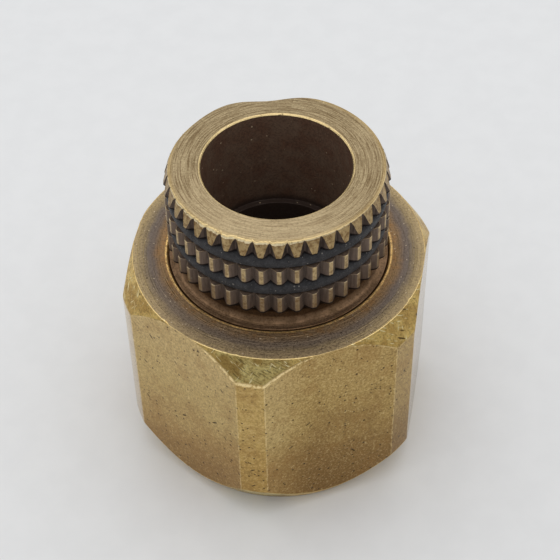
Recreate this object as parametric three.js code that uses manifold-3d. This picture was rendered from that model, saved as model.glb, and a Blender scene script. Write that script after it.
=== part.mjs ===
// Swivel pipe coupling: a hexagonal brass body with a female pipe thread in its lower end,
// and a knurled brass spigot that turns in its upper end. Millimetres, +Z up along the bore,
// origin at the centre of the bottom face, one corner of the hexagon towards -Y.

import * as THREE from 'three';
import { mergeVertices } from 'three/addons/utils/BufferGeometryUtils.js';
import Module from 'manifold-3d';

const wasm = await Module();
wasm.setup();

// ---- Driving dimensions ------------------------------------------------------------------

const OVERALL_HEIGHT = 32.2;

// hexagonal body
const ACROSS_FLATS = 27;
const CORNER_RADIUS = 14.9;          // corners are turned down to this circle
const SHOULDER_Z = 21.8;
const SHOULDER_RADIUS = 13.5;
const TOP_CHAMFER_HEIGHT = 2.25;
const FOOT_RADIUS = 12.6;
const BOTTOM_CHAMFER_HEIGHT = 3.8;

// female thread, G 1/2
const THREAD_PITCH = 1.814;
const THREAD_MAJOR_RADIUS = 10.48;
const THREAD_MINOR_RADIUS = 9.32;
const THREAD_LENGTH = 10.6;
const THREAD_FLANK_DEG = 27.5;       // from square to the axis
const THREAD_ENTRY_RADIUS = 11.1;
const RELIEF_RADIUS = 10.7;

// web between the thread and the counterbore, which carries the spigot
const WEB_BOTTOM_Z = 14;
const WEB_TOP_Z = 19.2;
const WEB_HOLE_RADIUS = 8.5;
const COUNTERBORE_RADIUS = 10.17;
const COUNTERBORE_BEVEL = 0.25;

// spigot
const COLLAR_RADIUS = 10.03;
const COLLAR_BOTTOM_Z = 19.73;
const COLLAR_TOP_Z = 21.75;
const NECK_RADIUS = 9;
const STEM_RADIUS = 8.42;
const STEM_END_RADIUS = 7.9;
const STEM_STEP_Z = 14.25;
const STEM_END_Z = 11.2;
const EDGE_BREAK = 0.25;

// bore through the spigot
const MOUTH_RADIUS = 6.85;
const MOUTH_CHAMFER = 0.13;
const BORE_RADIUS = 6.72;
const BORE_STEP_Z = 21.6;
const STEM_BORE_RADIUS = 6.2;

// knurl: three bands of straight teeth in line with each other, two ring grooves between them
const TOOTH_COUNT = 41;
const FIRST_TOOTH_DEG = 2.08;        // from -Y towards +X
const TOOTH_TIP_RADIUS = 10.1;
const TOOTH_ROOT_RADIUS = 9.53;
const TOOTH_LAND_WIDTH = 0.42;
const TOOTH_GAP_FLOOR = 0.1;
const LOWER_BAND = [23.85, 25.78];
const MIDDLE_BAND = [27.36, 29.08];
const UPPER_BAND = [30.6, OVERALL_HEIGHT];
const TOP_FACE_RADIUS = 9.67;
const TIP_CONE_HEIGHT = 1.6;
const RING_GROOVE_RADIUS = 8.4;

// round rubber rings in the knurl, between the bands
const NECK_RING_RADIUS = 9.16;       // to the centre of the section
const NECK_RING_SECTION_RADIUS = 0.78;

// swivel seals: round rings in grooves of the stem
const SEAL_SECTION_RADIUS = 0.58;
const SEAL_OUTER_RADIUS = 8.46;
const SEAL_GROOVE_RADIUS = 7.25;
const SEAL_GROOVE_WIDTH = 1.7;
const UPPER_SEAL_Z = 17.95;
const LOWER_SEAL_Z = 15.4;

// washers and retaining ring
const BEARING_WASHER = { inner: 8.6, outer: 10.0, bottom: WEB_TOP_Z, top: 19.7 };
const THRUST_WASHER = { inner: 8.02, outer: 9.2, bottom: 13.4, top: WEB_BOTTOM_Z };
const WIRE_RADIUS = 0.55;
const WIRE_RING_RADIUS = 8.05;       // to the centre of the wire
const WIRE_RING_Z = 12.8;
const WIRE_RING_GAP_DEG = 24;
const WIRE_GROOVE_CLEARANCE = 0.06;

const BODY_SEGMENTS = 60;
const SPIGOT_SEGMENTS = 60;
const RING_SEGMENTS = 36;
const THREAD_SEGMENTS = 36;
const SECTION_SIDES = 8;
const POINTS_PER_TURN = 4;           // of the thread's section
const OVERRUN = 1;                   // how far a cutter runs past the face it opens

// ---- Materials ---------------------------------------------------------------------------

const MATERIALS = {
  bodyBrass: { color: 0x9c8246, roughness: 0.42, metalness: 1 },
  spigotBrass: { color: 0x9a8050, roughness: 0.38, metalness: 1 },
  blackRubber: { color: 0x2c2d31, roughness: 0.75, metalness: 0 },
  ptfe: { color: 0xe6e4dd, roughness: 0.5, metalness: 0 },
  springSteel: { color: 0x8f9296, roughness: 0.3, metalness: 1 },
};

// ---- Geometry helpers --------------------------------------------------------------------

function turned(profile, segments) {
  // profile is a list of [radius, z], anticlockwise: up the outside, down the inside
  const points = profile.map(([radius, z]) => new THREE.Vector2(radius, z));
  return new THREE.LatheGeometry(points, segments).rotateX(Math.PI / 2);
}

function closedLoop(profile) {
  return [...profile, profile[0]];
}

function roundSection(ringRadius, z, sectionRadius) {
  const points = [];
  for (let i = 0; i < SECTION_SIDES; i += 1) {
    const angle = 2 * Math.PI * (i + 0.5) / SECTION_SIDES;
    points.push([ringRadius + sectionRadius * Math.cos(angle), z + sectionRadius * Math.sin(angle)]);
  }
  return closedLoop(points);
}

function welded(geometry) {
  geometry.deleteAttribute('normal');
  geometry.deleteAttribute('uv');
  return mergeVertices(geometry);
}

function toSolid(geometry) {
  const mesh = welded(geometry);
  return new wasm.Manifold(new wasm.Mesh({
    numProp: 3,
    vertProperties: new Float32Array(mesh.attributes.position.array),
    triVerts: new Uint32Array(mesh.index.array),
  }));
}

function toGeometry(solid) {
  const mesh = solid.getMesh();
  const geometry = new THREE.BufferGeometry();
  geometry.setAttribute('position', new THREE.BufferAttribute(mesh.vertProperties, 3));
  geometry.setIndex(new THREE.BufferAttribute(mesh.triVerts, 1));
  return geometry;
}

function piece(name, geometry, materialName) {
  const material = new THREE.MeshStandardMaterial({ ...MATERIALS[materialName], flatShading: true });
  const mesh = new THREE.Mesh(welded(geometry), material);
  mesh.name = name;
  return mesh;
}

// ---- Thread ------------------------------------------------------------------------------

function threadColumn() {
  // [radius, z] up one side of the tap, four points to a turn
  const depth = THREAD_MAJOR_RADIUS - THREAD_MINOR_RADIUS;
  const flank = depth * Math.tan(THREE.MathUtils.degToRad(THREAD_FLANK_DEG));
  const flat = THREAD_PITCH / 2 - flank;
  const turns = Math.ceil(THREAD_LENGTH / THREAD_PITCH) + 1;
  const column = [];
  for (let turn = -1; turn < turns - 1; turn += 1) {
    const z = turn * THREAD_PITCH;
    column.push([THREAD_MINOR_RADIUS, z]);
    column.push([THREAD_MINOR_RADIUS, z + flat]);
    column.push([THREAD_MAJOR_RADIUS, z + flat + flank]);
    column.push([THREAD_MAJOR_RADIUS, z + flat + flank + flat]);
  }
  return column;
}

function threadCutter() {
  // Every column of points stands at one angle and is lifted with the helix, so that the last
  // column is the first one over again, a turn higher. Fans from the axis close both ends.
  const column = threadColumn();
  const rows = column.length;
  const vertices = [];
  const triangles = [];
  const vertex = (s, row) => s * rows + row;
  for (let s = 0; s <= THREAD_SEGMENTS; s += 1) {
    const angle = 2 * Math.PI * s / THREAD_SEGMENTS;
    const lift = THREAD_PITCH * s / THREAD_SEGMENTS;
    column.forEach(([radius, z]) => {
      vertices.push(radius * Math.sin(angle), -radius * Math.cos(angle), z + lift);
    });
  }
  const foot = vertices.length / 3;
  vertices.push(0, 0, column[0][1] - THREAD_PITCH);
  const head = foot + 1;
  vertices.push(0, 0, column[rows - 1][1] + 2 * THREAD_PITCH);
  for (let s = 0; s < THREAD_SEGMENTS; s += 1) {
    for (let row = 0; row < rows - 1; row += 1) {
      triangles.push(vertex(s, row), vertex(s + 1, row), vertex(s + 1, row + 1));
      triangles.push(vertex(s, row), vertex(s + 1, row + 1), vertex(s, row + 1));
    }
    triangles.push(foot, vertex(s + 1, 0), vertex(s, 0));
    triangles.push(head, vertex(s, rows - 1), vertex(s + 1, rows - 1));
  }
  for (let row = 0; row < POINTS_PER_TURN; row += 1) {
    triangles.push(foot, vertex(0, row), vertex(0, row + 1));
    const last = rows - 1 - row;
    triangles.push(head, vertex(THREAD_SEGMENTS, last), vertex(THREAD_SEGMENTS, last - 1));
  }
  const geometry = new THREE.BufferGeometry();
  geometry.setAttribute('position', new THREE.Float32BufferAttribute(vertices, 3));
  geometry.setIndex(triangles);
  return geometry;
}

// ---- Hexagonal body ----------------------------------------------------------------------

function hexagonBar() {
  const radius = ACROSS_FLATS / 2 / Math.cos(Math.PI / 6);
  const bar = new THREE.CylinderGeometry(radius, radius, SHOULDER_Z, 6);
  return bar.rotateX(Math.PI / 2).translate(0, 0, SHOULDER_Z / 2);
}

function turnedOutside() {
  return turned([
    [0, 0],
    [FOOT_RADIUS, 0],
    [CORNER_RADIUS, BOTTOM_CHAMFER_HEIGHT],
    [CORNER_RADIUS, SHOULDER_Z - TOP_CHAMFER_HEIGHT],
    [SHOULDER_RADIUS, SHOULDER_Z],
    [0, SHOULDER_Z],
  ], BODY_SEGMENTS);
}

function bodyBore() {
  const entryDepth = THREAD_ENTRY_RADIUS - THREAD_MINOR_RADIUS;
  return turned([
    [0, -OVERRUN],
    [THREAD_ENTRY_RADIUS + OVERRUN, -OVERRUN],
    [THREAD_MINOR_RADIUS, entryDepth],
    [THREAD_MINOR_RADIUS, THREAD_LENGTH],
    [RELIEF_RADIUS, THREAD_LENGTH + RELIEF_RADIUS - THREAD_MINOR_RADIUS],
    [RELIEF_RADIUS, WEB_BOTTOM_Z],
    [WEB_HOLE_RADIUS, WEB_BOTTOM_Z],
    [WEB_HOLE_RADIUS, WEB_TOP_Z],
    [COUNTERBORE_RADIUS, WEB_TOP_Z],
    [COUNTERBORE_RADIUS, SHOULDER_Z - COUNTERBORE_BEVEL],
    [COUNTERBORE_RADIUS + COUNTERBORE_BEVEL + OVERRUN, SHOULDER_Z + OVERRUN],
    [0, SHOULDER_Z + OVERRUN],
  ], BODY_SEGMENTS);
}

function hexBody() {
  const outside = toSolid(hexagonBar()).intersect(toSolid(turnedOutside()));
  const bored = outside.subtract(toSolid(bodyBore()));
  return piece('hex_body', toGeometry(bored.subtract(toSolid(threadCutter()))), 'bodyBrass');
}

// ---- Spigot ------------------------------------------------------------------------------

function sealGroove(z) {
  // upwards along the outside of the stem
  return [
    [STEM_RADIUS, z - SEAL_GROOVE_WIDTH / 2],
    [SEAL_GROOVE_RADIUS, z - SEAL_GROOVE_WIDTH / 2],
    [SEAL_GROOVE_RADIUS, z + SEAL_GROOVE_WIDTH / 2],
    [STEM_RADIUS, z + SEAL_GROOVE_WIDTH / 2],
  ];
}

function wireGroove() {
  const reach = WIRE_RADIUS + WIRE_GROOVE_CLEARANCE;
  const floor = WIRE_RING_RADIUS - reach;
  return [
    [STEM_END_RADIUS, WIRE_RING_Z - reach],
    [floor, WIRE_RING_Z - reach / 2],
    [floor, WIRE_RING_Z + reach / 2],
    [STEM_END_RADIUS, WIRE_RING_Z + reach],
  ];
}

function spigotBlank() {
  return turned([
    [0, STEM_END_Z],
    [STEM_END_RADIUS - EDGE_BREAK, STEM_END_Z],
    [STEM_END_RADIUS, STEM_END_Z + EDGE_BREAK],
    ...wireGroove(),
    [STEM_END_RADIUS, STEM_STEP_Z],
    [STEM_RADIUS, STEM_STEP_Z],
    ...sealGroove(LOWER_SEAL_Z),
    ...sealGroove(UPPER_SEAL_Z),
    [STEM_RADIUS, COLLAR_BOTTOM_Z],
    [COLLAR_RADIUS - EDGE_BREAK, COLLAR_BOTTOM_Z],
    [COLLAR_RADIUS, COLLAR_BOTTOM_Z + EDGE_BREAK],
    [COLLAR_RADIUS, COLLAR_TOP_Z],
    [NECK_RADIUS, COLLAR_TOP_Z],
    [NECK_RADIUS, LOWER_BAND[0]],
    [RING_GROOVE_RADIUS, (LOWER_BAND[0] + LOWER_BAND[1]) / 2],
    [RING_GROOVE_RADIUS, (UPPER_BAND[0] + UPPER_BAND[1]) / 2],
    [0, (UPPER_BAND[0] + UPPER_BAND[1]) / 2],
  ], SPIGOT_SEGMENTS);
}

function spigotBore() {
  return turned([
    [0, STEM_END_Z - OVERRUN],
    [STEM_BORE_RADIUS, STEM_END_Z - OVERRUN],
    [STEM_BORE_RADIUS, BORE_STEP_Z],
    [BORE_RADIUS, BORE_STEP_Z],
    [BORE_RADIUS, OVERALL_HEIGHT - MOUTH_CHAMFER],
    [MOUTH_RADIUS, OVERALL_HEIGHT],
    [MOUTH_RADIUS, OVERALL_HEIGHT + OVERRUN],
    [0, OVERALL_HEIGHT + OVERRUN],
  ], SPIGOT_SEGMENTS);
}

function toothedOutline() {
  const outline = new THREE.Shape();
  const pitch = 2 * Math.PI / TOOTH_COUNT;
  const halfLand = TOOTH_LAND_WIDTH / 2 / TOOTH_TIP_RADIUS;
  const halfRoot = pitch / 2 - TOOTH_GAP_FLOOR / 2 / TOOTH_ROOT_RADIUS;
  for (let tooth = 0; tooth < TOOTH_COUNT; tooth += 1) {
    const centre = THREE.MathUtils.degToRad(FIRST_TOOTH_DEG - 90) + tooth * pitch;
    [
      [TOOTH_ROOT_RADIUS, -halfRoot],
      [TOOTH_TIP_RADIUS, -halfLand],
      [TOOTH_TIP_RADIUS, halfLand],
      [TOOTH_ROOT_RADIUS, halfRoot],
    ].forEach(([radius, turn], corner) => {
      const x = radius * Math.cos(centre + turn);
      const y = radius * Math.sin(centre + turn);
      if (tooth === 0 && corner === 0) {
        outline.moveTo(x, y);
      } else {
        outline.lineTo(x, y);
      }
    });
  }
  return outline;
}

function toothedBand([bottom, top]) {
  const settings = { depth: top - bottom, bevelEnabled: false };
  return toSolid(new THREE.ExtrudeGeometry(toothedOutline(), settings).translate(0, 0, bottom));
}

function tipCone() {
  const slope = (TOOTH_TIP_RADIUS - TOP_FACE_RADIUS) / TIP_CONE_HEIGHT;
  const depth = UPPER_BAND[1] - UPPER_BAND[0];
  return turned([
    [0, UPPER_BAND[0]],
    [TOP_FACE_RADIUS + slope * depth, UPPER_BAND[0]],
    [TOP_FACE_RADIUS, UPPER_BAND[1]],
    [0, UPPER_BAND[1]],
  ], SPIGOT_SEGMENTS);
}

function spigot() {
  const knurled = toSolid(spigotBlank())
    .add(toothedBand(LOWER_BAND))
    .add(toothedBand(MIDDLE_BAND))
    .add(toothedBand(UPPER_BAND).intersect(toSolid(tipCone())));
  return piece('spigot', toGeometry(knurled.subtract(toSolid(spigotBore()))), 'spigotBrass');
}

// ---- Rings, seals and washers ------------------------------------------------------------

function neckRing(name, bandBelow, bandAbove) {
  const z = (bandBelow[1] + bandAbove[0]) / 2;
  const section = roundSection(NECK_RING_RADIUS, z, NECK_RING_SECTION_RADIUS);
  return piece(name, turned(section, SPIGOT_SEGMENTS), 'blackRubber');
}

function swivelSeal(name, z) {
  const section = roundSection(SEAL_OUTER_RADIUS - SEAL_SECTION_RADIUS, z, SEAL_SECTION_RADIUS);
  return piece(name, turned(section, RING_SEGMENTS), 'blackRubber');
}

function washer(name, { inner, outer, bottom, top }) {
  const section = closedLoop([[inner, bottom], [outer, bottom], [outer, top], [inner, top]]);
  return piece(name, turned(section, RING_SEGMENTS), 'ptfe');
}

function retainingRing() {
  // an open ring of round wire, its gap towards +Y
  const gap = THREE.MathUtils.degToRad(WIRE_RING_GAP_DEG);
  const start = Math.PI / 2 + gap / 2;
  const end = start + 2 * Math.PI - gap;
  const arc = new THREE.EllipseCurve(0, 0, WIRE_RING_RADIUS, WIRE_RING_RADIUS, start, end);
  const points = arc.getPoints(RING_SEGMENTS).map((p) => new THREE.Vector3(p.x, p.y, WIRE_RING_Z));
  const wire = new THREE.Shape().absarc(0, 0, WIRE_RADIUS, 0, 2 * Math.PI);
  const geometry = new THREE.ExtrudeGeometry(wire, {
    steps: RING_SEGMENTS,
    curveSegments: SECTION_SIDES / 2,
    extrudePath: new THREE.CatmullRomCurve3(points),
  });
  return piece('retaining_ring', geometry, 'springSteel');
}

// ---- Assembly ----------------------------------------------------------------------------

const coupling = new THREE.Group();
coupling.add(hexBody());
coupling.add(spigot());
coupling.add(neckRing('upper_neck_ring', MIDDLE_BAND, UPPER_BAND));
coupling.add(neckRing('lower_neck_ring', LOWER_BAND, MIDDLE_BAND));
coupling.add(swivelSeal('upper_swivel_seal', UPPER_SEAL_Z));
coupling.add(swivelSeal('lower_swivel_seal', LOWER_SEAL_Z));
coupling.add(washer('bearing_washer', BEARING_WASHER));
coupling.add(washer('thrust_washer', THRUST_WASHER));
coupling.add(retainingRing());

export default coupling;
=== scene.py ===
"""Looks of the swivel pipe coupling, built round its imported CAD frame.

Every piece but the retaining ring is a closed profile swept round the bore's axis, and that one
is a bent wire. Lengths are millimetres, and meshes are scaled to metres when they are made. The
lights and the floor are placed in metres.
"""
import math

import bpy
import numpy as np
from mathutils import Matrix, Vector


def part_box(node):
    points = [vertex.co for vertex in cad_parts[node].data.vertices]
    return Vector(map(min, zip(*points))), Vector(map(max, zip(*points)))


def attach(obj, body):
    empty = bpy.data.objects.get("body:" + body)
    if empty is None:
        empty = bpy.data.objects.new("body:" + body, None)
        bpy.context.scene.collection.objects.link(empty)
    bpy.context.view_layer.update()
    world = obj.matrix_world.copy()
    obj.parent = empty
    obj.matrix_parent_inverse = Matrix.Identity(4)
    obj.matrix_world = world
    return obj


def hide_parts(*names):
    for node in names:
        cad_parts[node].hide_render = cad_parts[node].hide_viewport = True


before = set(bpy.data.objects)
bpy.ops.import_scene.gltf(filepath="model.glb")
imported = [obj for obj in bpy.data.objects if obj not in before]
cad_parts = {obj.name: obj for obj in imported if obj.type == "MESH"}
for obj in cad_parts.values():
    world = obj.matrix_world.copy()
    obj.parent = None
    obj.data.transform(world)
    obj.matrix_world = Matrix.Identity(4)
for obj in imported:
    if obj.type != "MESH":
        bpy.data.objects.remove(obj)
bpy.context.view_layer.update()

MM = 0.001
TURN = 2 * math.pi


def box_mm(node):
    """The lowest and highest corner of a CAD node, in millimetres."""
    low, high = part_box(node)
    return low / MM, high / MM


BODY_LOW, BODY_HIGH = box_mm("hex_body")
SPIGOT_LOW, SPIGOT_HIGH = box_mm("spigot")

# ---- Sizes of the hexagonal body ----------------------------------------------------------

APOTHEM = BODY_HIGH.x
CORNER_RADIUS = -BODY_LOW.y
SHOULDER_Z = BODY_HIGH.z
SECTOR = TURN / 6
SHOULDER_RADIUS = APOTHEM + 0.04
TOP_CHAMFER_SLOPE = 1.63
FOOT_RADIUS = 12.62
BOTTOM_CHAMFER_SLOPE = 1.65
HOLE_RADIUS = 10.17
SEAM_BEVEL = 0.18
THREAD_PITCH = 1.814
THREAD_MAJOR = 10.48
THREAD_MINOR = 9.32
THREAD_LENGTH = 10.6
THREAD_ENTRY = 11.1
RELIEF_RADIUS = 10.7
WEB_BOTTOM = 14.0
WEB_TOP = 19.2
WEB_HOLE_RADIUS = 8.5

# ---- Sizes of the spigot ------------------------------------------------------------------

TOP_Z = SPIGOT_HIGH.z
STEM_END_Z = SPIGOT_LOW.z
TOP_FACE_RADIUS = 9.66
TIP_RADIUS = 10.1
ROOT_RADIUS = 9.53
CONE_SLOPE = 3.7
TEETH = 41
FIRST_TOOTH = math.radians(2.08)
LAND_HALF_WIDTH = 0.13
GROOVE_RADIUS = 8.4
UPPER_BAND = (30.6, TOP_Z)
MIDDLE_BAND = (27.36, 29.08)
LOWER_BAND = (23.85, 25.78)
NECK_RADIUS = 9.0
COLLAR_RADIUS = 10.11
COLLAR_BOTTOM = 19.73
COLLAR_TOP = 21.75
STEM_RADIUS = 8.42
STEM_END_RADIUS = 7.9
STEM_STEP_Z = 14.25
MOUTH_RADIUS = 6.85
BORE_RADIUS = 6.72
MOUTH_CHAMFER = 0.13
BORE_STEP_Z = 21.6
STEM_BORE_RADIUS = 6.2
SEAL_GROOVE_RADIUS = 7.25
SEAL_GROOVE_HALF = 0.85
SEAL_HEIGHTS = {"lower_swivel_seal": 15.4, "upper_swivel_seal": 17.95}
SEAL_RING_RADIUS = 7.88
SEAL_SECTION = 0.57
WASHER_HOLES = {"bearing_washer": 8.6, "thrust_washer": 8.02}
NECK_RING_RADIUS = 9.16
NECK_RING_SECTION = 0.75
NECK_RING_SQUARENESS = 0.75
WIRE_RADIUS = 0.55
WIRE_RING_RADIUS = 8.05
WIRE_Z = 12.8
WIRE_GROOVE_RADIUS = 7.42
WIRE_GROOVE_HALF = 0.6
WIRE_GAP = math.radians(24)

FINE_BODY = 576      # columns round the outside of the body, three to each inside
COARSE_BODY = 192
COLUMNS_PER_TOOTH = 16
FINE_SPIGOT = TEETH * COLUMNS_PER_TOOTH
COARSE_SPIGOT = FINE_SPIGOT // 4


# ---- Smooth random values ------------------------------------------------------------------

def lattice(ix, iy, seed):
    """A repeatable random value from 0 to 1 for each whole-number pair."""
    mixed = np.sin(ix * 127.1 + iy * 311.7 + seed * 74.7) * 43758.5453
    return mixed - np.floor(mixed)


def value_noise(x, y, seed, period=0):
    """Smooth noise from -1 to 1. With a period, x wraps round after that many cells."""
    ix, iy = np.floor(x), np.floor(y)
    fx, fy = x - ix, y - iy
    fx, fy = fx * fx * (3 - 2 * fx), fy * fy * (3 - 2 * fy)
    left, right = (ix % period, (ix + 1) % period) if period else (ix, ix + 1)
    low = lattice(left, iy, seed) * (1 - fx) + lattice(right, iy, seed) * fx
    high = lattice(left, iy + 1, seed) * (1 - fx) + lattice(right, iy + 1, seed) * fx
    return 2 * (low * (1 - fy) + high * fy) - 1


def round_noise(theta, cells, seed, row=0.0):
    """Smooth noise round the axis, with that many cells in a turn."""
    return value_noise(theta / TURN * cells, np.full_like(theta, row + 0.5), seed, cells)


def hill(theta, centre, width):
    """Rises smoothly to 1 at one bearing round the axis, in radians."""
    away = (theta - centre + math.pi) % TURN - math.pi
    return np.exp(-(away / width) ** 2)


def smooth_min(a, b, blend):
    """The smaller of two lengths, rounded over where they meet."""
    overlap = np.maximum(blend - np.abs(a - b), 0) / blend
    return np.minimum(a, b) - overlap * overlap * blend / 4


# ---- Profiles swept round the axis ---------------------------------------------------------

class Corner:
    """A corner of a profile: radius and height, each a number or one value per column.

    soft is how far its rounding reaches and edge how worn it is: 1 is worn bright in the middle,
    and more spreads the brightness wider. On the knurl's lands, edge and worn also carry painted
    highlights. The rest is about the straight stretch that follows: how many parts it is cut into,
    how dark it is from dirt and from painted shade, how worn it is, and its zone, which picks its
    material.
    """

    def __init__(self, radius, z, soft=0.0, edge=0.0, cuts=2, dirt_and_shade=0.0, worn=0.0, zone=0):
        self.radius = radius
        self.z = z
        self.soft = soft
        self.edge = edge
        self.cuts = cuts
        self.dirt_and_shade = dirt_and_shade
        self.worn = worn
        self.zone = zone


ROUNDING_STEPS = (0.0, 0.2, 0.5, 0.8, 1.0)


def eased(count):
    """Places from 0 to 1 between the ends, closer together near both."""
    steps = np.arange(1, count) / count
    return 0.5 * steps + 0.5 * (0.5 - 0.5 * np.cos(math.pi * steps))


class Rows:
    """The rows of points that a profile makes, with what each row carries."""

    def __init__(self):
        self.points = []
        self.edge = []
        self.dirt_and_shade = []
        self.zone = []

    def add(self, theta, place, edge, dirt_and_shade, zone):
        """place is one radius and height per column."""
        radius, z = place[:, 0], place[:, 1]
        self.points.append(np.stack([radius * np.sin(theta), -radius * np.cos(theta), z], 1))
        self.edge.append(np.broadcast_to(edge, theta.shape))
        self.dirt_and_shade.append(np.broadcast_to(dirt_and_shade, theta.shape))
        self.zone.append(zone)


def rounding(points, corners, i):
    """Where the rounding of corner i starts and ends, one point per column, or its own point."""
    point = points[i]
    if i in (0, len(corners) - 1) or not np.any(corners[i].soft > 0):
        return point, point
    before, after = points[i - 1] - point, points[i + 1] - point
    to_before = np.linalg.norm(before, axis=1, keepdims=True).clip(1e-9)
    to_after = np.linalg.norm(after, axis=1, keepdims=True).clip(1e-9)
    soft = np.broadcast_to(corners[i].soft, point.shape[:1])[:, None]
    reach = np.minimum(soft, 0.45 * np.minimum(to_before, to_after))
    return point + before / to_before * reach, point + after / to_after * reach


def sweep(rows, theta, corners):
    """Adds the rows of an open profile, from its first corner to its last."""
    points = [np.stack([np.broadcast_to(c.radius, theta.shape), np.broadcast_to(c.z, theta.shape)], 1)
              for c in corners]
    for i, corner in enumerate(corners):
        start, end = rounding(points, corners, i)
        before = corners[max(i - 1, 0)]
        if start is end:
            rows.add(theta, start, corner.edge, corner.dirt_and_shade, corner.zone)
        else:
            for t in ROUNDING_STEPS:
                place = (1 - t) ** 2 * start + 2 * t * (1 - t) * points[i] + t * t * end
                held = before if t < 0.5 else corner
                peak = 1 - abs(2 * t - 1)
                worn = np.maximum(corner.edge * peak, held.worn)
                rows.add(theta, place, worn, held.dirt_and_shade, corner.zone)
        if i < len(corners) - 1:
            following = rounding(points, corners, i + 1)[0]
            for t in eased(corner.cuts):
                rows.add(theta, end * (1 - t) + following * t, corner.worn, corner.dirt_and_shade, corner.zone)


def bridge(upper, lower, start_upper, start_lower):
    """Faces between two closed rows of points, where one may have a whole multiple of the other's."""
    faces = []
    fine, coarse = max(upper, lower), min(upper, lower)
    ratio = fine // coarse
    for i in range(coarse):
        j = (i + 1) % coarse
        few = [start_lower + i, start_lower + j] if lower <= upper else [start_upper + i, start_upper + j]
        many_start = start_upper if lower <= upper else start_lower
        many = [many_start + (i * ratio + k) % fine for k in range(ratio + 1)]
        if ratio == 1:
            quad = (many[0], many[1], few[1], few[0])
            faces.append(quad if lower <= upper else quad[::-1])
            continue
        half = ratio // 2
        fan = [(many[k], many[k + 1], few[0] if k < half else few[1]) for k in range(ratio)]
        fan.append((many[half], few[1], few[0]))
        faces.extend(fan if lower <= upper else [f[::-1] for f in fan])
    return faces


def make_piece(name, rows, body, node, materials):
    """A closed mesh from rows of points that run round the profile and meet again."""
    counts = [len(r) for r in rows.points]
    starts = np.concatenate([[0], np.cumsum(counts)])
    faces = []
    zones = []
    for i in range(len(counts)):
        j = (i + 1) % len(counts)
        made = bridge(counts[i], counts[j], int(starts[i]), int(starts[j]))
        faces.extend(made)
        zones.extend([rows.zone[i]] * len(made))
    points = np.concatenate(rows.points)
    if swept_volume(points, faces) < 0:
        faces = [f[::-1] for f in faces]
    mesh = bpy.data.meshes.new(name)
    mesh.from_pydata(points * MM, [], faces)
    for label, values in (("edge", rows.edge), ("dirt_and_shade", rows.dirt_and_shade)):
        attribute = mesh.attributes.new(label, "FLOAT", "POINT")
        attribute.data.foreach_set("value", np.concatenate(values).astype(np.float32))
    for material in materials:
        mesh.materials.append(material)
    mesh.polygons.foreach_set("material_index", np.array(zones, np.int32))
    mesh.shade_smooth()
    mesh.validate()
    piece = bpy.data.objects.new(name, mesh)
    bpy.context.scene.collection.objects.link(piece)
    weighted = piece.modifiers.new("even_normals", "WEIGHTED_NORMAL")
    weighted.weight = 60
    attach(piece, body)
    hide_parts(node)
    return piece


def swept_volume(points, faces):
    """The signed volume of a closed mesh, negative where its faces point inwards."""
    first, second, third = (points[[f[k] for f in faces]] for k in range(3))
    total = np.einsum("ij,ij->i", first, np.cross(second, third)).sum()
    quads = np.array([f for f in faces if len(f) == 4], int)
    if len(quads):
        p, q, s = points[quads[:, 0]], points[quads[:, 2]], points[quads[:, 3]]
        total += np.einsum("ij,ij->i", p, np.cross(q, s)).sum()
    return total / 6


# ---- Material nodes ------------------------------------------------------------------------

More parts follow.
